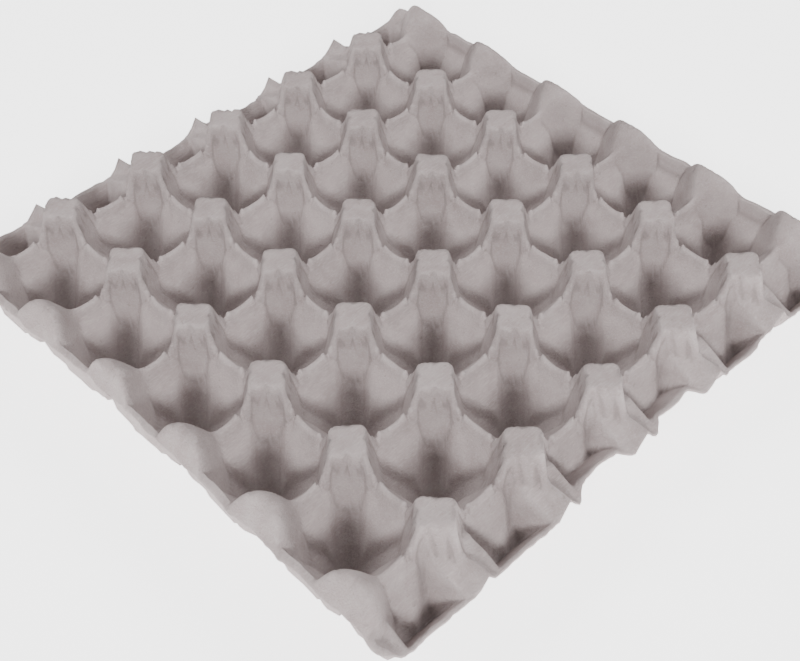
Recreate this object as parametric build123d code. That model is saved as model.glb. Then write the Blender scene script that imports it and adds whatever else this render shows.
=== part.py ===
"""Egg tray in moulded paper pulp: thirty round cells between hollow square posts.

Millimetres, +Z up, open side up.  The origin is the middle of the tray on the
plane its cell floors rest on.  Six cells run along X and five along Y; a row
of half cells closes the tray at each Y end, a row of half posts at each X end.

The tray is one moulding.  It is written as its rows, which butt against each
other along the saddle lines with no gap: five rows of full cells, all alike,
and an end row of half cells with its rim, turned half round for the other end.
"""
import os
from math import cos, radians, sqrt, tan

from build123d import *

# ---- driving sizes ---------------------------------------------------------
PITCH = 48.2            # cell to cell, both ways
CELLS_X = 6             # full cells along X
CELLS_Y = 5             # full cells along Y
HEIGHT = 50.0           # cell floor underside to post top
RIM_REACH = 1.4         # rim edge beyond the last grid line
CORNER_ROUND = 5.0      # rounded corners of the outline
WALL = 2.0              # pulp thickness

POST_FLAT = 15.0        # side of the flat on a post, turned 45 degrees
POST_LEAN = 14.0        # lean of a post face from upright
POST_CHAMFER = 1.2      # blunting of the four post edges
LEDGE_DROP = 23.0       # post top down to the foot of the post faces
LEDGE_WIDTH = 0.7       # shelf between a post face and the round cup

SADDLE_DROP = 12.5      # post top down to the saddle between two posts
SADDLE_LEAN = 9.0       # lean of the saddle flanks from upright
RIB_LENGTH = 13.0       # raised rib along the middle of a saddle
RIB_WIDTH = 2.6
RIB_RISE = 1.5

FLOOR_RADIUS = 7.0      # flat floor inside a cup
BEVEL_WIDTH = 3.0       # bevel round that floor
BEVEL_RISE = 3.0

END_DROP = 11.0         # post top down to the rim at the X ends
END_LEAN = 31.0         # lean of the outer face of a half post
SIDE_DROP = 21.0        # post top down to the rim at the Y ends
SIDE_STRIP = 3.4        # rim strip beside the half cells
SIDE_LEAN = 25.0        # lean of the outer wall of a half cell
STUB_FALL = 5.0         # fall of a saddle stub from a side post to the rim
GRIP_CELLS = 2          # half cells in the middle of each Y end with a finger grip
GRIP_DEPTH = 5.5        # how far the rim steps in there
GRIP_WIDTH = 27.0
GRIP_FLARE = 3.0        # how much wider a grip opens outward, at each side
LIP_DEPTH = 3.5         # turned-down edge of the rim

OVER = 1.0              # how far a cutter runs past what it cuts
BAND = 8.0              # width of the cutters that run along the grid lines

# ---- derived places --------------------------------------------------------
HALF_X = CELLS_X * PITCH / 2 + RIM_REACH
HALF_Y = (CELLS_Y + 1) * PITCH / 2 + RIM_REACH
LEDGE_Z = HEIGHT - LEDGE_DROP
SADDLE_Z = HEIGHT - SADDLE_DROP
END_Z = HEIGHT - END_DROP
SIDE_Z = HEIGHT - SIDE_DROP
POST_SLOPE = tan(radians(POST_LEAN))
SADDLE_SLOPE = tan(radians(SADDLE_LEAN))
END_SLOPE = tan(radians(END_LEAN))
SIDE_SLOPE = tan(radians(SIDE_LEAN))
END_RUN = (HEIGHT - END_Z) * END_SLOPE  # how far the outer face of a half post leans in
# two walls back to back leave this crest, with one wall of pulp beneath it
SADDLE_WIDTH = 2 * (WALL / cos(radians(SADDLE_LEAN)) - WALL * SADDLE_SLOPE)

CELL_XS = [(i - (CELLS_X - 1) / 2) * PITCH for i in range(CELLS_X)]
CELL_YS = [(j - (CELLS_Y - 1) / 2) * PITCH for j in range(CELLS_Y)]
POST_XS = [(i - CELLS_X / 2) * PITCH for i in range(CELLS_X + 1)]
POST_YS = [(j - CELLS_Y / 2) * PITCH for j in range(CELLS_Y + 1)]
HALF_CELL_Y = (CELLS_Y + 1) * PITCH / 2
FIRST_GRIP = (CELLS_X - GRIP_CELLS) // 2
GRIP_XS = CELL_XS[FIRST_GRIP:FIRST_GRIP + GRIP_CELLS]
PLAIN_XS = [x for x in CELL_XS if x not in GRIP_XS]


def post_reach(z):
    """Distance from a post's axis to its flat faces at height z."""
    return POST_FLAT / 2 + (HEIGHT - z) * POST_SLOPE


def post_edge(z):
    """Distance from a post's axis to its blunted edges at height z."""
    return post_reach(z) * sqrt(2) - POST_CHAMFER


def face_reach(z):
    """Distance from a cell's axis to the post faces round it at height z."""
    return PITCH / sqrt(2) - post_reach(z)


def flank_reach(z):
    """Distance from a cell's axis to the saddle flanks round it at height z."""
    return (PITCH - SADDLE_WIDTH) / 2 + (z - SADDLE_Z) * SADDLE_SLOPE


CUP_RADIUS = min(face_reach(LEDGE_Z), flank_reach(LEDGE_Z)) - LEDGE_WIDTH


def flaring_square(reach, low, high, lean, turn):
    """Square frustum round the Z axis, widening upward by the given lean."""
    foot = Plane.XY.offset(low) * Rectangle(2 * reach, 2 * reach)
    return Rot(0, 0, turn) * extrude(foot, high - low, taper=-lean)


def cell(skin):
    """Space of one cell, grown all round by the thickness skin."""
    low = LEDGE_Z - skin
    high = HEIGHT + OVER
    face = face_reach(low) + skin / cos(radians(POST_LEAN))
    flank = flank_reach(low) + skin / cos(radians(SADDLE_LEAN))
    faces = flaring_square(face, low, high, POST_LEAN, 45)
    flanks = flaring_square(flank, low, high, SADDLE_LEAN, 0)
    floor = WALL - skin
    cup = Polyline(
        (0, floor),
        (FLOOR_RADIUS + skin / 2, floor),
        (FLOOR_RADIUS + BEVEL_WIDTH + skin, floor + BEVEL_RISE),
        (CUP_RADIUS + skin, LEDGE_Z),
        (0, LEDGE_Z),
        close=True,
    )
    return (faces & flanks) + revolve(Plane.XZ * make_face(cup), Axis.Z)


def along_x(*points):
    """Prism of the Y-Z outline given, running the whole length of the tray."""
    face = make_face(Polyline(*points, close=True))
    return extrude(Plane.YZ * face, HALF_X + OVER, both=True)


def along_y(*points):
    """Prism of the X-Z outline given, running the whole width of the tray."""
    face = make_face(Polyline(*points, close=True))
    return extrude(Plane.XZ * face, HALF_Y + OVER, both=True)


def half_cell(skin, inset):
    """Half cell at the +Y end, closed by its leaning outer wall.

    The inset is how far that wall stands in from its usual place.
    """
    edge = HALF_Y - SIDE_STRIP - inset + skin
    foot = edge - SIDE_Z * SIDE_SLOPE
    far = HALF_Y + PITCH
    outside = along_x((foot, 0), (edge, SIDE_Z), (far, SIDE_Z), (far, -OVER), (foot, -OVER))
    return Pos(0, HALF_CELL_Y, 0) * cell(skin) - outside


def side_rim():
    """Rim at the +Y end: a level strip with its edge turned down."""
    inner = HALF_Y - SIDE_STRIP
    return along_x(
        (HALF_Y, SIDE_Z - LIP_DEPTH), (HALF_Y, SIDE_Z), (inner, SIDE_Z), (inner, SIDE_Z - WALL),
        (HALF_Y - WALL, SIDE_Z - WALL), (HALF_Y - WALL, SIDE_Z - LIP_DEPTH))


def grip_bay(grow, low, high):
    """Block with the plan of a finger grip, grown all round, between two heights."""
    deep = HALF_Y - GRIP_DEPTH - grow
    half = GRIP_WIDTH / 2 + grow
    mouth = half + GRIP_FLARE
    plan = make_face(Polyline(
        (-half, deep), (half, deep), (mouth, HALF_Y), (mouth, HALF_Y + OVER),
        (-mouth, HALF_Y + OVER), (-mouth, HALF_Y), close=True))
    return extrude(Pos(0, 0, low) * plan, high - low)


def channel(span, floor):
    """Cutter above a saddle along X, from one post's edge to the next one's."""
    top = HEIGHT + OVER
    low = span / 2 - post_edge(floor)
    high = span / 2 - post_edge(top)
    face = make_face(Polyline((-low, floor), (low, floor), (high, top), (-high, top), close=True))
    return extrude(Plane.XZ * face, BAND / 2, both=True)


def stub(depth):
    """Outline, in Y-Z, of the band along a grid line from a side post to the rim.

    With a depth it is the pulp below the surface, with none the space above it.
    """
    post_y = POST_YS[-1]
    high = SIDE_Z + STUB_FALL
    start = post_y + post_edge(high)
    if depth:
        points = [(start, high), (HALF_Y, SIDE_Z), (HALF_Y, SIDE_Z - depth),
                  (start - depth, high - depth), (start - depth, high)]
    else:
        top = HEIGHT + OVER
        points = [(start, high), (HALF_Y, SIDE_Z), (HALF_Y + OVER, SIDE_Z),
                  (HALF_Y + OVER, top), (post_y + post_edge(top), top)]
    face = make_face(Polyline(*points, close=True))
    return extrude(Plane.YZ * face, BAND / 2, both=True)


def both_ends(shape):
    """The shape and its copy turned half round the Z axis."""
    return [shape, Rot(0, 0, 180) * shape]


def end_wall():
    """Outer face of the half posts at the +X end, with the rim turned down below it."""
    thick = WALL / cos(radians(END_LEAN))
    return along_y(
        (HALF_X, END_Z - LIP_DEPTH), (HALF_X, END_Z), (HALF_X - END_RUN, HEIGHT),
        (HALF_X - END_RUN - thick, HEIGHT), (HALF_X - thick, END_Z),
        (HALF_X - thick, END_Z - LIP_DEPTH))


def beyond_end():
    """Space outside the outer face of the half posts at the +X end."""
    return along_y(
        (HALF_X, END_Z), (HALF_X + OVER, END_Z), (HALF_X + OVER, HEIGHT + OVER),
        (HALF_X - END_RUN, HEIGHT + OVER), (HALF_X - END_RUN, HEIGHT))


def post_caps(y):
    """Tops of the posts along one grid line, before the cells are cut."""
    cap = Box(PITCH / 2, PITCH / 2, WALL)
    return [Pos(x, y, HEIGHT - WALL / 2) * cap for x in POST_XS]


def saddle_gaps(y):
    """Gaps over the saddles that run along one X grid line."""
    gap = channel(PITCH, SADDLE_Z)
    return [Pos(x, y, 0) * gap for x in CELL_XS]


def saddle_ribs(y, inward):
    """The half of each rib on one X grid line that lies inward of that line."""
    half = Box(RIB_LENGTH, RIB_WIDTH / 2, 2 * RIB_RISE)
    return [Pos(x, y + inward * RIB_WIDTH / 4, SADDLE_Z) * half for x in CELL_XS]


def build_row():
    """A row of full cells along X, from one saddle line to the next."""
    block = Pos(0, 0, HEIGHT / 2) * Box(2 * HALF_X, PITCH, HEIGHT)
    outer, inner = cell(WALL), cell(0)
    skins = [Pos(x, 0, 0) * outer for x in CELL_XS]
    skins += post_caps(-PITCH / 2) + post_caps(PITCH / 2)
    skins += both_ends(end_wall())
    row = (Part() + skins) & block

    cuts = [Pos(x, 0, 0) * inner for x in CELL_XS]
    cuts += saddle_gaps(-PITCH / 2) + saddle_gaps(PITCH / 2)
    across = Rot(0, 0, 90) * channel(PITCH, SADDLE_Z)
    cuts += [Pos(x, 0, 0) * across for x in POST_XS[1:-1]]
    cuts += both_ends(Pos(POST_XS[-1], 0, 0) * Rot(0, 0, 90) * channel(PITCH, END_Z))
    cuts += both_ends(beyond_end())
    row = row - cuts

    rib = Box(RIB_WIDTH, RIB_LENGTH, 2 * RIB_RISE)
    ribs = [Pos(x, 0, SADDLE_Z) * rib for x in POST_XS[1:-1]]
    ribs += saddle_ribs(-PITCH / 2, 1) + saddle_ribs(PITCH / 2, -1)
    return row + ribs


def build_end_row():
    """Half cells, finger grips and rim at the +Y end, from the last saddle line outward."""
    line = POST_YS[-1]
    width = HALF_Y - line
    block = Pos(0, line + width / 2, HEIGHT / 2) * Box(2 * HALF_X, width, HEIGHT)
    outline = extrude(RectangleRounded(2 * HALF_X, 2 * HALF_Y, CORNER_ROUND), HEIGHT)
    skins = [Pos(x, 0, 0) * half_cell(WALL, 0) for x in PLAIN_XS]
    skins += [Pos(x, 0, 0) * half_cell(WALL, GRIP_DEPTH) for x in GRIP_XS]
    skins += post_caps(line)
    skins += both_ends(end_wall())
    skins += [side_rim()]
    ledge = GRIP_DEPTH + SIDE_STRIP
    plate = Pos(0, HALF_Y - ledge / 2, SIDE_Z - WALL / 2) * Box(PITCH, ledge, WALL)
    lip = grip_bay(WALL, SIDE_Z - LIP_DEPTH, SIDE_Z)
    skins += [Pos(x, 0, 0) * shape for x in GRIP_XS for shape in (plate, lip)]
    skins += [Pos(x, 0, 0) * stub(WALL) for x in POST_XS]
    row = (Part() + skins) & (outline & block)

    cuts = [Pos(x, 0, 0) * half_cell(0, 0) for x in PLAIN_XS]
    cuts += [Pos(x, 0, 0) * half_cell(0, GRIP_DEPTH) for x in GRIP_XS]
    cuts += saddle_gaps(line)
    cuts += [Pos(x, 0, 0) * grip_bay(0, -OVER, HEIGHT + OVER) for x in GRIP_XS]
    cuts += [Pos(x, 0, 0) * stub(0) for x in POST_XS]
    cuts += both_ends(beyond_end())
    row = row - cuts
    return row + saddle_ribs(line, 1)


row = build_row()
end_row = build_end_row()
pieces = {f"row_{j}": Pos(0, y, 0) * row for j, y in enumerate(CELL_YS, 1)}
pieces["end_row_front"], pieces["end_row_back"] = Rot(0, 0, 180) * end_row, end_row

os.makedirs("parts", exist_ok=True)
for name, piece in pieces.items():
    print(name, "solids", len(piece.solids()), "faces", len(piece.faces()),
          "volume", round(piece.volume), "valid", piece.is_valid)
    export_step(piece, f"parts/{name}.step")
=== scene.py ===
"""Looks of the moulded-pulp egg tray: one thin ragged-edged sheet of grey paper
pulp pressed into cups, hollow posts, steep-sided saddles and a thin rim.

Lengths in the shape code are millimetres in the tray's own frame; the mesh is
written in metres.
"""

import bpy
import numpy as np
from mathutils import Matrix, Vector


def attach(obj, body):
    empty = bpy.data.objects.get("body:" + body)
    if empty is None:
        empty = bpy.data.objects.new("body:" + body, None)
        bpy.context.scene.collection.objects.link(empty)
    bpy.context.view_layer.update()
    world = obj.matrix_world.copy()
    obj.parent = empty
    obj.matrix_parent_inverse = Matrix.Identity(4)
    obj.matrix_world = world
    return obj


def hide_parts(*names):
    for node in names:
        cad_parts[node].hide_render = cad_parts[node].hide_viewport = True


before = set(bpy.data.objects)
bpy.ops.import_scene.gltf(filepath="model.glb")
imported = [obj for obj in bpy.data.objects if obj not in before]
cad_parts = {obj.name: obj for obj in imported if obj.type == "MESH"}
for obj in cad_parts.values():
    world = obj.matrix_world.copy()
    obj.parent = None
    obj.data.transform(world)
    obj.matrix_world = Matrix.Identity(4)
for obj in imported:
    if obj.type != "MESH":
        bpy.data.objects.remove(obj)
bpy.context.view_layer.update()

MM = 0.001

# ---- sizes of the moulding, millimetres -------------------------------------
# FACE, FLANK, ROOF, BUTTRESS and the LEANs are runs outward for each 1 of height.
PITCH = 48.2
HALF_PITCH = PITCH / 2
CELLS_X, CELLS_Y = 6, 5
TOP = 50.0
RIM = 146.0                 # middle of the tray to the rim edge, both ways
WALL = 2.0
END_FROM = (CELLS_X / 2 - 0.5) * PITCH  # middle of the last cells along X
LAST_POST = CELLS_X / 2 * PITCH         # line of the half posts
LAST_LINE = (CELLS_Y / 2) * PITCH       # last saddle line before the half cells
POCKET = 7.5                # from that line to the bottom of a half cell

# posts
FLAT = 7.5                  # post axis to the sides of its flat top
FACE = np.tan(np.radians(14.0))
BLUNT = 1.2                 # blunting of the post edges
EDGE_ROUND = 3.0            # rounding of the faces into those edges
TOP_CROWN, TOP_ROUND = 0.2, 1.6         # flat top proud of TOP, and its rounding
POST_ROUND = 1.5            # rounding where a post rises from the saddles
PANEL = 6.4                 # half width of the sunk panel at the top of each post face
PANEL_SPREAD = 0.08         # widening of the panel for each 1 down the face
PANEL_SIDE = 0.5            # half the run of the step at its sides
PANEL_FROM, PANEL_FULL = 1.8, 2.8       # below the top: where the panel starts, is full
PANEL_DROP = 3.6            # height that the face loses inside the panel

# half posts at the X ends
ARCH_FALL, ARCH_HALF, ARCH_POWER = 11.0, 14.0, 2.6     # fall at that half width
DOME_FALL, DOME_REACH, DOME_POWER = 12.0, 17.0, 2.4    # the same inboard
DOME_CROWN = 1.2            # highest point above the other posts
DOME_SPREAD, DOME_ROUND = 3.5, 5.0      # its faces stand further out; their rounding

# saddles
SADDLE = 37.5
CREST = 1.71                # half width of a saddle crest
CREST_CROWN = 0.2
CREST_RISE, CREST_RUN = 2.2, 7.0        # rise of the crest that far from mid-span
RISE_LIMIT = 1.1            # the rise stops at that many runs
FLANK = np.tan(np.radians(9.0))
ROOF = np.tan(np.radians(42.0))         # lean of the two slopes along the crest
SADDLE_ROUND = 2.5
GROOVE_NEAR, GROOVE_FAR = (6.9, 7.6), (9.2, 10.2)      # its two sides, from mid-span
GROOVE_DEPTH, GROOVE_BITE = 7.0, 1.5    # into the crest, and into each flank

# cups
FLOOR = 2.0
FLOOR_ROUND = 3.0
VALLEY = 6.0                # rounding of the cup's walls into each other
CHANNEL = 6.0               # half width of the channel that runs down each valley
CHANNEL_SIDE = 1.8          # half the run of the step at its sides
CHANNEL_DROP = 4.5
BUTTRESS = np.tan(np.radians(35.0))     # lean of the saddle walls low in the cup
BUTTRESS_TOP = 34.5
CUP_OUTSIDE = 1.6           # drop of a cup's outside for each 1 of wall
CUP_ROUND = 2.0             # rounding of saddles and cups into each other

# X ends
END_RIM = 39.0              # rim height beside the half posts
END_LEAN = np.tan(np.radians(35.0))
END_CROWN, END_CREST_ROUND = 0.9, 1.6   # saddle at the end: proud of the rim, rounding
END_PROUD, END_ROUND = 0.7, 2.5         # slanting outer face: proud of the rim, rounding
END_INSIDE, END_INSIDE_ROUND = 3.5, 1.5 # its inner side: below the rim, rounding

# Y ends
SIDE_RIM = 29.0             # rim height beside the half cells
SIDE_STRIP = 1.4
SIDE_LEAN = np.tan(np.radians(28.0))
SIDE_OVER = -1.0            # the outer wall's slope runs on that far into the strip
SIDE_ROUND, SIDE_JOIN = 1.2, 1.6        # wall into rim, and into the cups
STUB_RISE = 5.0
STUB_LIMIT = 1.6            # the rise stops at that many times STUB_RISE
STUB_CROWN, STUB_ROUND = 0.6, 2.0
TAB = 9.0                   # half width of the tabs between a side post and the rim
TAB_REACH = 12.0            # run of a tab's rise on the underside

# finger grips, one in each of the two middle half cells
GRIP_AT = HALF_PITCH
GRIP_DEPTH = 5.0
GRIP_LIFT = 2.5             # the rim stands that much higher in a grip
GRIP_LEAN = 0.6             # how much more the outer wall leans below a grip
GRIP_HALF = 10.0
GRIP_EASE = 7.5             # run over which the rim comes back out
WALL_EASE = (5.0, 13.0)     # the same for the wall, from and to beyond GRIP_HALF
GRIP_PULL = 9.0             # how far in from the rim its drawing-in is felt

# underside and edge
LEDGE = 27.0                # foot of the post faces, where the hollows stop falling
HOLLOW_TOP, HOLLOW_ROUND = 2.0, 1.5     # rounding of the hollows' roofs
THIN = 1.2                  # least thickness of the sheet, measured upright
LIP_X, LIP_Y = 1.4, 1.4     # thickness of the edge at the X ends and at the Y ends
LIP_FROM, LIP_TO = 1.7, 2.3 # from the edge: where that thickness gives way to the wall
EDGE_ROWS = ((0.25, 0.8), (0.85, 1.0))  # share of the way down, share of the bulge
BULGE, BULGE_ROUGH, BULGE_WAVE = 0.3, 0.1, 4.0

# hand-made unevenness: sizes and wave lengths
CORNER_ROUND = 7.0
RIM_NEAR_X, RIM_NEAR_Y = 7, 5           # from the edge: where the rim's wander is felt
RIM_IN, RIM_IN_LEAST, RIM_IN_MOST = 0.3, -0.9, 3
WANDER = ((0.45, 60), (0.3, 16))
RAGGED, RAGGED_WAVE = 0.13, 5.0
BOW, BOW_MIDDLE, BOW_CELLS = 1.7, 2.7, 5.6             # in cells but for the first
WARP = (0.28, 0.28, 0.38)   # along X, Y and Z
WARP_WAVE, RIPPLE_WAVE, RIPPLE = 38, 11, 0.3           # the ripple is a share of the warp

# mesh and tone
SAMPLES = 181               # places at which a ray's profile is measured
TURN_COST = 4.5             # length that a turning of 1 radian counts for
UPPER_STATIONS, LOWER_STATIONS = (16, 12), (8, 7)      # of full cells, of half cells
SAME = 1e-6                 # places nearer than this are one
CREASE_REACH = 1.1
SEED = 41


# ---- small shape tools --------------------------------------------------------
def round_max(a, b, k):
    """The larger of a and b, with a round of reach k where they cross."""
    w = np.clip(0.5 + 0.5 * (a - b) / k, 0.0, 1.0)
    return b + (a - b) * w + k * w * (1 - w)


def round_min(a, b, k):
    """The smaller of a and b, with a round of reach k where they cross."""
    return -round_max(-a, -b, k)


def step(x, start, end):
    """Smooth rise from 0 at start to 1 at end: 3t^2 - 2t^3."""
    t = np.clip((x - start) / (end - start), 0.0, 1.0)
    return t * t * (3 - 2 * t)


def waves(points, seed, length, count=14):
    """Smooth noise: a sum of sine waves of random direction and phase.

    Each wave's length lies within a factor 1.6 of the one given; the sum has
    unit variance or so.
    """
    rng = np.random.default_rng(seed)
    way = rng.normal(size=(count, points.shape[-1]))
    way /= np.linalg.norm(way, axis=1)[:, None]
    number = 2 * np.pi / (length * rng.uniform(0.625, 1.6, count))
    phase = rng.uniform(0, 2 * np.pi, count)
    return np.sin(points @ (way * number[:, None]).T + phase).sum(axis=-1) * np.sqrt(2 / count)


# ---- the moulded sheet ----------------------------------------------------------
def grip(x):
    """How far the rim steps in at x: GRIP_DEPTH inside a finger grip, eased at its ends."""
    off = np.abs(np.abs(x) - GRIP_AT)
    return GRIP_DEPTH * (1 - step(off, GRIP_HALF, GRIP_HALF + GRIP_EASE))


def strip(x):
    """How far in from the outline the outer wall begins to fall at x.

    The plain strip, and GRIP_DEPTH more behind a grip, eased over WALL_EASE.
    """
    off = np.abs(np.abs(x) - GRIP_AT)
    start, end = WALL_EASE
    return SIDE_STRIP + GRIP_DEPTH * (1 - step(off, GRIP_HALF + start, GRIP_HALF + end))


def side_wall(x):
    """The rim's lift and the outer wall's lean at x; both grow inside a grip."""
    lift = GRIP_LIFT * grip(x) / GRIP_DEPTH
    lean = SIDE_LEAN * (1 + GRIP_LEAN * grip(x) / GRIP_DEPTH)
    return lift, lean


def zones(x, y):
    """Whether (x, y) is at an X end, whether at a Y end, and how far in from each edge."""
    return (np.abs(x) > END_FROM, np.abs(y) > LAST_LINE,
            RIM - np.abs(x), RIM - np.abs(y))


def lines(x, y):
    """Distance from (x, y) to the nearest post line along X and along Y."""
    a = np.abs(x - np.round(x / PITCH) * PITCH)
    b = np.abs(y - (np.round(y / PITCH - 0.5) + 0.5) * PITCH)
    return a, b


def saddle(along, across, low):
    """Height of a saddle wall: two roof slopes at the crest, steep flanks below.

    along is the distance from the post axis, across the distance from the line.
    The crest rises by the cube of the distance from mid-span, and a groove
    across it parts it from each post.
    """
    mid = HALF_PITCH - along
    rise = CREST_RISE * np.clip(mid / CREST_RUN, 0, RISE_LIMIT) ** 3
    groove = step(mid, *GROOVE_NEAR) * (1 - step(mid, *GROOVE_FAR))
    flank = low - (across - CREST + GROOVE_BITE * groove) / FLANK
    roof = low + CREST_CROWN + rise - GROOVE_DEPTH * groove - across / ROOF
    return round_min(roof, flank, SADDLE_ROUND)


def bowl(a, b, grow):
    """Height of a cup's inside, or its outside when grow is the wall.

    Under each saddle a wall leans in, level along the saddle; the four walls
    meet in rounded valleys below the post faces, each with a channel sunk in
    it, and round off into the floor.
    """
    foot = CREST + (SADDLE - BUTTRESS_TOP) * FLANK
    inward = round_min(a, b, VALLEY) - foot
    skew = np.abs(a - b) / np.sqrt(2)
    half = CHANNEL + grow
    channel = CHANNEL_DROP * (1 - step(skew, half - CHANNEL_SIDE, half + CHANNEL_SIDE))
    floor = FLOOR - np.minimum(grow, FLOOR)
    walls = BUTTRESS_TOP - CUP_OUTSIDE * grow - inward / BUTTRESS - channel
    return round_max(walls, floor, FLOOR_ROUND)


def post_top(a, b):
    """Height of a post: a square pyramid turned 45 degrees, with blunt edges.

    Each face falls by the distance from the axis across it over FACE, less
    PANEL_DROP inside its sunk panel; the edges fall by the larger of a and b.
    """
    reach = (a + b) / np.sqrt(2)
    skew = np.abs(a - b) / np.sqrt(2)
    face = TOP - (reach - FLAT) / FACE
    width = PANEL + PANEL_SPREAD * (TOP - face)
    across = 1 - step(skew, width - PANEL_SIDE, width + PANEL_SIDE)
    face = face - PANEL_DROP * (across * step(TOP - face, PANEL_FROM, PANEL_FULL))
    edge = TOP - (np.maximum(a, b) - (FLAT * np.sqrt(2) - BLUNT)) / (np.sqrt(2) * FACE)
    return round_min(round_min(face, edge, EDGE_ROUND), TOP + TOP_CROWN + 0 * a, TOP_ROUND)


def half_post_top(a, b, inboard):
    """Height of a half post: its top less a fall by a power of b and one by a power of
    inboard, cut by slanting faces."""
    dome = (TOP + DOME_CROWN - ARCH_FALL * (b / ARCH_HALF) ** ARCH_POWER
            - DOME_FALL * (inboard / DOME_REACH) ** DOME_POWER)
    faces = TOP - ((a + b) / np.sqrt(2) - FLAT - DOME_SPREAD) / FACE
    return round_min(dome, faces, DOME_ROUND)


def upper(x, y):
    """Height of the upper face of the sheet at (x, y).

    The larger, rounded, of the posts, the saddles along both lines and the
    cups.  At the X ends the half posts are cut by a slanting plane; at the Y
    ends a leaning wall and a thin rim close the half cells.
    """
    a, b = lines(x, y)
    end, side, out_x, out_y = zones(x, y)
    half_post = half_post_top(a, b, np.maximum(LAST_POST - np.abs(x), 0))
    post = np.where(end, half_post, post_top(a, b))

    # saddles along X, on the lines b = 0, and along Y, on the lines a = 0
    along_x = saddle(a, b, SADDLE)
    along_y = saddle(b, a, SADDLE)
    crest = END_RIM + END_CROWN
    end_crest = round_min(crest + 0 * a, crest - (a - CREST) / FLANK, END_CREST_ROUND)
    along_y = np.where(end, end_crest, along_y)
    start = LAST_LINE + (FLAT + (TOP - SIDE_RIM - STUB_RISE) * FACE) * np.sqrt(2) - BLUNT
    stub = SIDE_RIM + STUB_RISE * np.clip(out_y / (RIM - start), 0, STUB_LIMIT)
    stub = round_min(stub, stub + STUB_CROWN - (a - TAB) / (2 * FLANK), STUB_ROUND)
    along_y = np.where(side, stub, along_y)

    z = round_max(round_max(along_x, along_y, CUP_ROUND), bowl(a, b, 0.0), CUP_ROUND)
    z = round_max(z, post, POST_ROUND)

    # leaning outer wall of the half cells and the rim beyond it
    lift, lean = side_wall(x)
    wall = SIDE_RIM + lift - np.maximum(out_y - strip(x), SIDE_OVER) / lean
    wall = round_min(wall, SIDE_RIM + lift, SIDE_ROUND)
    z = np.where(side, round_max(z, wall, SIDE_JOIN), z)

    # slanting outer face of the half posts
    slant = END_RIM + END_PROUD + out_x / END_LEAN
    return np.where(end, round_min(z, slant, END_ROUND), z)


def lower(x, y):
    """Height of the underside at (x, y).

    The hollows of the posts and saddles are their faces set in by one wall,
    and stop falling one wall below LEDGE; the smaller of that and the cups'
    outsides is taken.  The sheet keeps its least thickness, measured upright,
    and has that of its edge at the rim.
    """
    a, b = lines(x, y)
    end, side, out_x, out_y = zones(x, y)
    face = TOP - ((a + b) / np.sqrt(2) + WALL / np.cos(np.arctan(FACE)) - FLAT) / FACE
    post = round_min(face, TOP - WALL + 0 * a, HOLLOW_TOP)
    offset = WALL / np.cos(np.arctan(FLANK))
    under = SADDLE - (np.minimum(a, b) + offset - CREST) / FLANK
    under = round_min(under, SADDLE - WALL + 0 * a, HOLLOW_ROUND)
    z = round_max(round_max(post, under, HOLLOW_ROUND), LEDGE - WALL + 0 * a, HOLLOW_ROUND)
    z = round_min(z, np.maximum(bowl(a, b, WALL), 0.0), 1.0)
    lift, lean = side_wall(x)
    wall = SIDE_RIM + lift - (out_y - strip(x) + WALL) / lean
    rise = STUB_RISE * np.clip(out_y / TAB_REACH, 0, STUB_LIMIT)
    wall = np.maximum(wall, SIDE_RIM - WALL + rise - np.maximum(a - TAB, 0) / FLANK)
    wall = round_min(wall, SIDE_RIM + lift - WALL, 1.0)
    z = np.where(side, round_max(z, wall, 1.0), z)
    inside = END_RIM - END_INSIDE + out_x / END_LEAN
    z = np.where(end, round_min(z, inside, END_INSIDE_ROUND), z)
    top = upper(x, y)
    z = np.minimum(z, top - THIN)
    lip = 1 - step(np.minimum(out_x, out_y - grip(x)), LIP_FROM, LIP_TO)
    return z + (top - np.where(side, LIP_Y, LIP_X) - z) * lip


def plan(x, y):
    """Place in plan of a point of the square grid: the rim is drawn in at the grips."""
    deep = RIM - GRIP_PULL
    pull = np.clip((np.abs(y) - deep) / (RIM - deep), 0, 1)
    return x, y - np.sign(y) * grip(x) * pull


# places of the rays' ends along a cell's side, closer together at the post edges
FINE = np.array([0, 3.6, 6.4, 8.2, 9.4, 10.2, 10.9, 11.5, 12.1, 12.8, 13.6, 14.6, 15.4, 16.4, 17.2,
                 18.4, 21.0, HALF_PITCH])
COARSE = FINE[[0, 2, 4, 8, 11, 15, 17]]
FINE_END = np.array([0, 4.0, 7.6, 9.6, 11.6, 13.6, 15.6, 17.6, 19.6, 21.2, 22.6, 24.0, 25.5])
COARSE_END = FINE_END[[0, 2, 4, 6, 8, 10, 12]]


def side_marks(short, long, half):
    """Places along one side of a cell: the half's marks and their mirror image, scaled."""
    marks = np.concatenate([half, PITCH - half[-2::-1]]) / PITCH
    return short + (long - short) * marks


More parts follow.
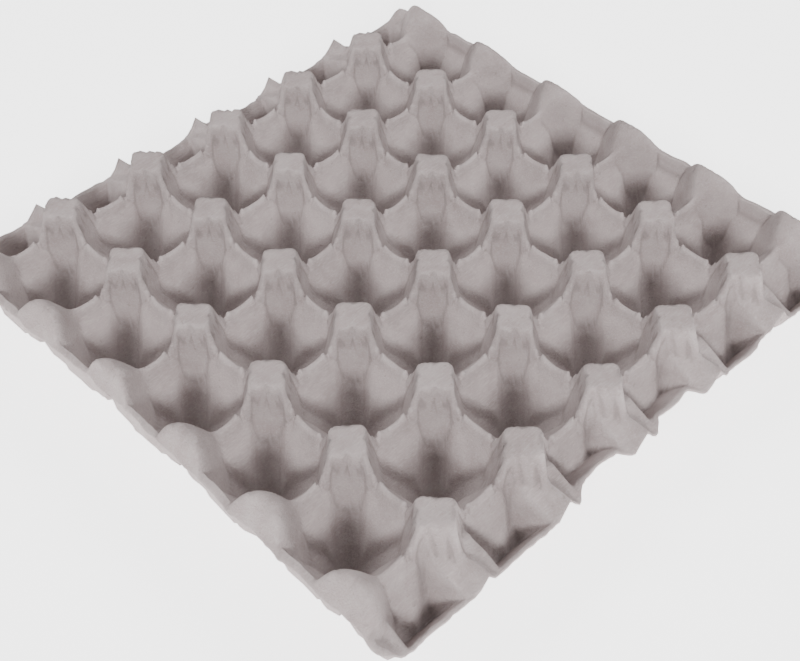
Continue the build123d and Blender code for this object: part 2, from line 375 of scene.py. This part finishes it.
def patch(mx, my, far, pole, height, stations):
    """One cell's piece of the sheet: rays from a pole to the cell's outline.

    mx are the places of the rays' ends along its -Y side, far along its +Y side
    and my along the other two.  Stations on each ray are spaced by
    length run plus turning of the profile, so that they gather at its bends.
    Gives rays x stations x (x, y, z), and the same places in the square grid.
    """
    loop = np.concatenate([
        np.stack([mx[:-1], np.full(len(mx) - 1, my[0])], 1),
        np.stack([np.full(len(my) - 1, mx[-1]), my[:-1]], 1),
        np.stack([far[:0:-1], np.full(len(far) - 1, my[-1])], 1),
        np.stack([np.full(len(my) - 1, mx[0]), my[:0:-1]], 1)])
    fine = np.linspace(0, 1, SAMPLES)
    px = pole[0] + (loop[:, 0, None] - pole[0]) * fine
    py = pole[1] + (loop[:, 1, None] - pole[1]) * fine
    x, y = plan(px, py)
    z = height(x, y)
    run = np.hypot(np.diff(x, axis=1), np.diff(y, axis=1))
    rise = np.diff(z, axis=1)
    turn = np.abs(np.diff(np.arctan2(rise, run), axis=1))
    cost = np.hypot(run, rise)
    cost[:, 1:] += TURN_COST * turn
    cost[:, :-1] += TURN_COST * turn
    total = np.concatenate([np.zeros((len(loop), 1)), np.cumsum(cost, axis=1)], 1)
    total /= total[:, -1:]
    # neighbouring rays share their spacing, so that rings stay smooth
    for _ in range(2):
        total = (np.roll(total, 1, 0) + 2 * total + np.roll(total, -1, 0)) / 4
    want = np.linspace(0, 1, stations + 1)
    # total rises along each ray, so the place of each share is read by interpolation
    index = (total[:, None, :] < want[None, :, None]).sum(axis=2).clip(1, len(fine) - 1)
    rows = np.arange(len(loop))[:, None]
    t0, t1 = total[rows, index - 1], total[rows, index]
    share = (want[None, :] - t0) / np.maximum(t1 - t0, 1e-9)
    t = fine[index - 1] + share.clip(0, 1) * (fine[1] - fine[0])
    t[:, 0], t[:, -1] = 0, 1
    px = pole[0] + (loop[:, 0, None] - pole[0]) * t
    py = pole[1] + (loop[:, 1, None] - pole[1]) * t
    x, y = plan(px, py)
    return np.stack([x, y, height(x, y)], -1), np.stack([px, py], -1)


def sheet_face(height, stations, marks, rim_marks, end_marks):
    """All cells' patches of one face of the sheet: points, grid places and quads.

    stations are those of the full cells and of the half cells.  Quads run
    outward and counter-clockwise seen from above.
    """
    full, half = stations
    xs = [-RIM] + [(i - CELLS_X / 2) * PITCH for i in range(1, CELLS_X)] + [RIM]
    ys = [(j - CELLS_Y / 2) * PITCH for j in range(CELLS_Y + 1)]
    far = end_marks / end_marks[-1] * (RIM - LAST_LINE)
    bands = [(side_marks(ys[j], ys[j + 1], marks), (ys[j] + ys[j + 1]) / 2, full, marks, marks)
             for j in range(CELLS_Y)]
    bands.append((LAST_LINE + far, LAST_LINE + POCKET, half, marks, rim_marks))
    bands.append((-(LAST_LINE + far)[::-1], -LAST_LINE - POCKET, half, rim_marks, marks))
    points, places, quads = [], [], []
    count = 0
    for i in range(CELLS_X):
        cx = (i - (CELLS_X - 1) / 2) * PITCH
        for my, cy, n, near, beyond in bands:
            grid, place = patch(side_marks(xs[i], xs[i + 1], near), my,
                                side_marks(xs[i], xs[i + 1], beyond), (cx, cy), height, n)
            rays, rings = grid.shape[:2]
            points.append(grid.reshape(-1, 3))
            places.append(place.reshape(-1, 2))
            a = np.arange(rays)[:, None] * rings + np.arange(rings - 1)[None, :]
            b = (np.arange(rays)[:, None] + 1) % rays * rings + np.arange(rings - 1)[None, :]
            quads.append(np.stack([a, a + 1, b + 1, b], -1).reshape(-1, 4) + count)
            count += rays * rings
    return np.concatenate(points), np.concatenate(places), np.concatenate(quads)


def weld(points, places, quads):
    """Merges points at one place, to a thousandth; quads then name the merged points."""
    key = np.round(places * 1000).astype(np.int64)
    _, first, back = np.unique(key, axis=0, return_index=True, return_inverse=True)
    quads = back.reshape(-1)[quads]
    return points[first], places[first], quads


def outline_order(places):
    """Points on the square's edge, in order round it, counter-clockwise."""
    x, y = places[:, 0], places[:, 1]
    on = np.flatnonzero((np.abs(np.abs(x) - RIM) < SAME) | (np.abs(np.abs(y) - RIM) < SAME))
    px, py = x[on], y[on]
    bottom, right = np.abs(py + RIM) < SAME, np.abs(px - RIM) < SAME
    top = np.abs(py - RIM) < SAME
    run = np.where(bottom, px + RIM, np.where(right, 2 * RIM + py + RIM,
                   np.where(top, 4 * RIM + RIM - px, 6 * RIM + RIM - py)))
    run = np.where(bottom & (np.abs(px + RIM) < SAME), 0, run)
    return on[np.argsort(run)]


def finish_sheet(points, places):
    """Hand-made unevenness of the sheet, the same for both its faces.

    Corners of the outline are rounded (square norm to round norm within the
    corner), the rim wanders and is ragged, and slow waves move every point.
    """
    p = points.copy()
    corner = RIM - CORNER_ROUND
    cx = np.maximum(np.abs(p[:, 0]) - corner, 0)
    cy = np.maximum(np.abs(p[:, 1]) - corner, 0)
    both = (cx > 0) & (cy > 0)
    scale = np.where(both, np.maximum(cx, cy) / np.maximum(np.hypot(cx, cy), SAME), 1)
    p[:, 0] = np.where(both, np.sign(p[:, 0]) * (corner + cx * scale), p[:, 0])
    p[:, 1] = np.where(both, np.sign(p[:, 1]) * (corner + cy * scale), p[:, 1])
    flat = p[:, :2]
    near_x = step(np.abs(places[:, 0]), RIM - RIM_NEAR_X, RIM)
    near_y = step(np.abs(places[:, 1]), RIM - RIM_NEAR_Y, RIM)
    wander = sum(size * waves(flat, SEED + i, length) for i, (size, length) in enumerate(WANDER))
    ragged = RAGGED * waves(flat, SEED + 2, RAGGED_WAVE)
    inward = np.clip(RIM_IN + wander + ragged, RIM_IN_LEAST, RIM_IN_MOST)
    # the rim at the -X end is drawn in along its middle and bowed out at its ends
    turn = 2 * np.pi * (places[:, 1] / PITCH + BOW_MIDDLE) / BOW_CELLS
    bow = np.where(places[:, 0] < 0, BOW * np.cos(turn), 0)
    p[:, 0] -= np.sign(places[:, 0]) * near_x * (inward - bow)
    p[:, 1] -= np.sign(places[:, 1]) * near_y * inward
    for axis, size in enumerate(WARP):
        p[:, axis] += size * waves(points, SEED + 5 + axis, WARP_WAVE)
        p[:, axis] += RIPPLE * size * waves(points, SEED + 9 + axis, RIPPLE_WAVE)
    p[:, 2] = np.maximum(p[:, 2], 0)
    return p


def crease(x, y):
    """How sharply the upper face is hollow (+1) or ridged (-1) at (x, y).

    The mean height of four places CREASE_REACH away less the height there.
    """
    r = CREASE_REACH
    around = upper(x + r, y) + upper(x - r, y) + upper(x, y + r) + upper(x, y - r)
    return np.clip(around / 4 - upper(x, y), -1, 1)


def tray_mesh(name):
    """The whole tray: upper face, underside and the edge strip between them."""
    top_points, top_places, top_quads = weld(*sheet_face(
        upper, UPPER_STATIONS, FINE, FINE, FINE_END))
    low_points, low_places, low_quads = weld(*sheet_face(
        lower, LOWER_STATIONS, COARSE, FINE, COARSE_END))
    top = finish_sheet(top_points, top_places)
    low = finish_sheet(low_points, low_places)
    rim_top, rim_low = outline_order(top_places), outline_order(low_places)
    # which point of the coarser lower outline each upper one has come to
    place_top, place_low = top_places[rim_top], low_places[rim_low]
    match = (np.abs(place_top[:, None] - place_low[None]).max(axis=2) < 1e-3)
    owner = np.maximum.accumulate(np.where(match.any(axis=1), match.argmax(axis=1), 0))

    # the edge bulges a little between the faces, like a torn thick edge
    upper_at = top[rim_top]
    lower_at = upper_at.copy()
    lower_at[:, 2] -= np.where(np.abs(place_top[:, 1]) > LAST_LINE, LIP_Y, LIP_X)
    outward = np.sign(place_top) * (np.abs(np.abs(place_top) - RIM) < SAME)
    rough = BULGE + BULGE_ROUGH * waves(lower_at, SEED + 20, BULGE_WAVE)
    rows = [upper_at + share * (lower_at - upper_at)
            + np.concatenate([outward * (rough * swell)[:, None], np.zeros((len(rim_top), 1))], 1)
            for share, swell in EDGE_ROWS]
    n, m = len(top), len(top) + len(low)
    ring = np.arange(len(rim_top))
    row_one, row_two = m + ring, m + len(ring) + ring
    points = np.concatenate([top, low] + rows)
    quads = [top_quads, low_quads[:, ::-1] + n]
    for first, second in ((rim_top, row_one), (row_one, row_two)):
        quads.append(np.stack([first, second, np.roll(second, -1), np.roll(first, -1)], -1))
    quads = np.concatenate(quads)
    below = rim_low[owner] + n
    fans = np.stack([row_two, below, np.roll(row_two, -1)], -1)
    turns = np.flatnonzero(owner != np.roll(owner, -1))
    joins = np.stack([np.roll(row_two, -1)[turns], below[turns], np.roll(below, -1)[turns]], -1)

    # a quad with a repeated corner is a triangle at a pole
    repeat = quads == np.roll(quads, -1, 1)
    broken = repeat.any(axis=1)
    shift = (repeat[broken].argmax(axis=1)[:, None] + np.arange(1, 4)) % 4
    threes = np.take_along_axis(quads[broken], shift, axis=1)
    faces = quads[~broken].tolist() + np.concatenate([threes, fans, joins]).tolist()
    mesh = bpy.data.meshes.new(name)
    mesh.from_pydata((points * MM).tolist(), [], faces)
    # the crease measure is stored for the pulp material, which paints shade into the hollows and a
    # highlight onto the ridges with it
    tone = np.zeros(len(points))
    tone[:n] = crease(top_points[:, 0], top_points[:, 1])
    tone[:n][rim_top] = 0
    mesh.attributes.new("crease", "FLOAT", "POINT").data.foreach_set("value", tone)
    mesh.polygons.foreach_set("use_smooth", np.ones(len(mesh.polygons), bool))
    mesh.update()
    return mesh


# ---- shader tools ---------------------------------------------------------------
class Value:
    """A number socket that takes part in plain arithmetic."""

    def __init__(self, tree, socket):
        self.tree, self.socket = tree, socket

    def maths(self, operation, *others):
        node = self.tree.nodes.new("ShaderNodeMath")
        node.operation = operation
        for slot, item in zip(node.inputs, (self,) + others):
            if isinstance(item, Value):
                self.tree.links.new(item.socket, slot)
            else:
                slot.default_value = item
        return Value(self.tree, node.outputs[0])

    def __add__(self, other):
        return self.maths("ADD", other)

    __radd__ = __add__

    def __mul__(self, other):
        return self.maths("MULTIPLY", other)

    __rmul__ = __mul__

    def __sub__(self, other):
        return self.maths("SUBTRACT", other)

    def __rsub__(self, other):
        return (self * -1.0) + other

    def clamped(self):
        node = self.maths("ADD", 0.0)
        node.socket.node.use_clamp = True
        return node

    def ramp(self, low, high):
        """0 below low, 1 above high, straight between."""
        return ((self - low) * (1.0 / (high - low))).clamped()


class Material:
    """One node material, filled by calls that each add a node."""

    def __init__(self, name):
        self.material = bpy.data.materials.new(name)
        self.material.use_nodes = True
        self.tree = self.material.node_tree
        self.tree.nodes.clear()

    def node(self, kind, settings=None, **sockets):
        """Adds a node: its settings first, then the values or links of its sockets.

        A socket is named as in Blender, with _ for a space.
        """
        node = self.tree.nodes.new(kind)
        for key, value in (settings or {}).items():
            setattr(node, key, value)
        for key, value in sockets.items():
            socket = node.inputs[key.replace("_", " ")]
            if isinstance(value, Value):
                self.tree.links.new(value.socket, socket)
            elif isinstance(value, bpy.types.NodeSocket):
                self.tree.links.new(value, socket)
            else:
                socket.default_value = value
        return node

    def noise(self, where, scale, detail, roughness):
        node = self.node("ShaderNodeTexNoise", {"noise_dimensions": "3D"}, Vector=where,
                         Scale=scale, Detail=detail, Roughness=roughness)
        return Value(self.tree, node.outputs["Fac"])

    def mix(self, share, one, two):
        """Colour one turning into colour two as share goes from 0 to 1."""
        node = self.node("ShaderNodeMix", {"data_type": "RGBA"})
        self.tree.links.new(share.socket, node.inputs[0])
        for slot, colour in ((6, one), (7, two)):
            if isinstance(colour, bpy.types.NodeSocket):
                self.tree.links.new(colour, node.inputs[slot])
            else:
                node.inputs[slot].default_value = (*colour, 1.0)
        return node.outputs[2]


# ---- finishes ---------------------------------------------------------------------
PULP_DULL, PULP, PULP_PALE = (0.315, 0.262, 0.257), (0.385, 0.325, 0.32), (0.46, 0.405, 0.40)
FIBRE, FLECK, GRAIN = (0.52, 0.465, 0.455), (0.20, 0.175, 0.165), (0.22, 0.185, 0.18)
# the crease colour is painted shade for the hollows, and the ridge colour is a painted highlight
# for the ridges
CREASE_SHADE, RIDGE_HIGHLIGHT = (0.17, 0.14, 0.135), (0.56, 0.51, 0.50)
FIBRE_TURNS = ((0.3, 0.2, 0.4), (1.2, -0.5, 1.6), (-0.6, 0.9, 2.7))    # radians
FIBRE_SCALE = (260.0, 1500.0, 1500.0)   # a fibre is about six times as long as wide
FLOOR_GLOW = 2.4            # keeps the floor pale where the lights fall off


def pulp_material():
    """Rough warm-grey paper pulp: mottled, with short fibres, flecks and a fine nap, and with
    painted shade in the creases and a painted highlight along the ridges.
    """
    m = Material("grey_pulp")
    place = m.node("ShaderNodeTexCoord").outputs["Object"]
    cloud = m.noise(place, 28.0, 4.0, 0.6)
    patch_tone = m.noise(place, 140.0, 3.0, 0.6)
    grain = m.noise(place, 900.0, 3.0, 0.7)
    # fibres: noise drawn out along three slanting directions
    fibre = None
    for turn in FIBRE_TURNS:
        lay = m.node("ShaderNodeMapping", None, Vector=place, Rotation=turn,
                     Scale=FIBRE_SCALE).outputs[0]
        one = m.noise(lay, 1.0, 2.0, 0.5)
        fibre = one if fibre is None else fibre.maths("MAXIMUM", one)
    fleck = m.noise(place, 520.0, 1.0, 0.5).ramp(0.70, 0.76)

    base = m.mix(cloud.ramp(0.35, 0.65), PULP_DULL, PULP)
    base = m.mix(patch_tone.ramp(0.35, 0.72) * 0.5, base, PULP_PALE)
    base = m.mix(fibre.ramp(0.56, 0.72) * 0.35, base, FIBRE)
    base = m.mix(fleck * 0.35, base, FLECK)
    base = m.mix(grain.ramp(0.35, 0.65) * 0.16, base, GRAIN)
    # painted shade: darker in the creases and hollows, where little light reaches
    fold = Value(m.tree, m.node("ShaderNodeAttribute", {"attribute_name": "crease"}).outputs["Fac"])
    base = m.mix(fold.ramp(0.2, 0.9) * 0.4, base, CREASE_SHADE)
    # painted highlight: paler along the ridges, as if they were lit from above
    base = m.mix((fold * -1.0).ramp(0.2, 1.0) * 0.14, base, RIDGE_HIGHLIGHT)

    height = grain * 0.35 + fibre * 0.5 + patch_tone * 0.6
    bump = m.node("ShaderNodeBump", None, Strength=0.8, Distance=0.0012, Height=height)
    shader = m.node("ShaderNodeBsdfPrincipled", None, Base_Color=base, Roughness=0.94,
                    Normal=bump.outputs[0])
    shader.inputs["Specular IOR Level"].default_value = 0.18
    out = m.node("ShaderNodeOutputMaterial")
    m.tree.links.new(shader.outputs[0], out.inputs[0])
    return m.material


def floor_material():
    """Plain white matt sheet."""
    m = Material("white_floor")
    shader = m.node("ShaderNodeBsdfPrincipled", None, Base_Color=(0.96, 0.96, 0.96, 1),
                    Roughness=1.0)
    shader.inputs["Emission Color"].default_value = (1.0, 1.0, 1.0, 1.0)
    shader.inputs["Emission Strength"].default_value = FLOOR_GLOW
    out = m.node("ShaderNodeOutputMaterial")
    m.tree.links.new(shader.outputs[0], out.inputs[0])
    return m.material


# ---- the piece ----------------------------------------------------------------
tray = bpy.data.objects.new("pulp_tray", tray_mesh("pulp_tray"))
bpy.context.scene.collection.objects.link(tray)
tray.data.materials.append(pulp_material())
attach(tray, "root")
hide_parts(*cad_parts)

# ---- floor, light and camera ------------------------------------------------
FLOOR_REACH = 6.0           # metres, as are the lights' distances and sizes
LIGHTS = (                  # name, azimuth, elevation, distance, size, watts
    ("light_front", -44.0, 29.0, 3.0, 0.6, 84.0),
    ("light_right", 46.0, 43.0, 2.0, 0.95, 28.0),
    ("light_left", -134.0, 43.0, 2.0, 0.95, 28.0),
    ("light_back", 136.0, 40.0, 1.5, 1.0, 4.0),
    ("light_above", 0.0, 88.0, 1.6, 0.9, 5.0))
EYE = (-313.8, -322.6, 454.9)           # millimetres
EYE_AZIMUTH, EYE_ELEVATION = -44.48, 46.08
LENS, SENSOR = 60.4, 36.0   # millimetres

sheet = bpy.data.meshes.new("floor")
sheet.from_pydata([(-FLOOR_REACH, -FLOOR_REACH, 0), (FLOOR_REACH, -FLOOR_REACH, 0),
                   (FLOOR_REACH, FLOOR_REACH, 0), (-FLOOR_REACH, FLOOR_REACH, 0)],
                  [], [(0, 1, 2, 3)])
floor = bpy.data.objects.new("floor", sheet)
floor.data.materials.append(floor_material())
bpy.context.scene.collection.objects.link(floor)

world = bpy.data.worlds.new("studio")
bpy.context.scene.world = world
world.use_nodes = True
world.node_tree.nodes["Background"].inputs["Color"].default_value = (1.0, 1.0, 1.0, 1.0)
world.node_tree.nodes["Background"].inputs["Strength"].default_value = 0.03


def bearing(azimuth, elevation):
    """Unit vector from the tray to that azimuth and elevation; azimuth 0 is the -Y side."""
    a, e = np.radians(azimuth), np.radians(elevation)
    return Vector((np.sin(a) * np.cos(e), -np.cos(a) * np.cos(e), np.sin(e)))


def softbox(name, azimuth, elevation, distance, size, power):
    """Square soft light aimed at the tray from that bearing and distance."""
    lamp = bpy.data.lights.new(name, "AREA")
    lamp.shape, lamp.size, lamp.energy = "SQUARE", size, power
    back = bearing(azimuth, elevation)
    thing = bpy.data.objects.new(name, lamp)
    thing.location = back * distance
    thing.rotation_euler = back.to_track_quat("Z", "Y").to_euler()
    bpy.context.scene.collection.objects.link(thing)


for light in LIGHTS:
    softbox(*light)

camera = bpy.data.cameras.new("camera")
camera.sensor_width = SENSOR
camera.lens = LENS
eye = bpy.data.objects.new("camera", camera)
turned = bearing(EYE_AZIMUTH, EYE_ELEVATION).to_track_quat("Z", "Y").to_matrix().to_4x4()
eye.matrix_world = Matrix.Translation(Vector(EYE) * MM) @ turned
bpy.context.scene.collection.objects.link(eye)
bpy.context.scene.camera = eye
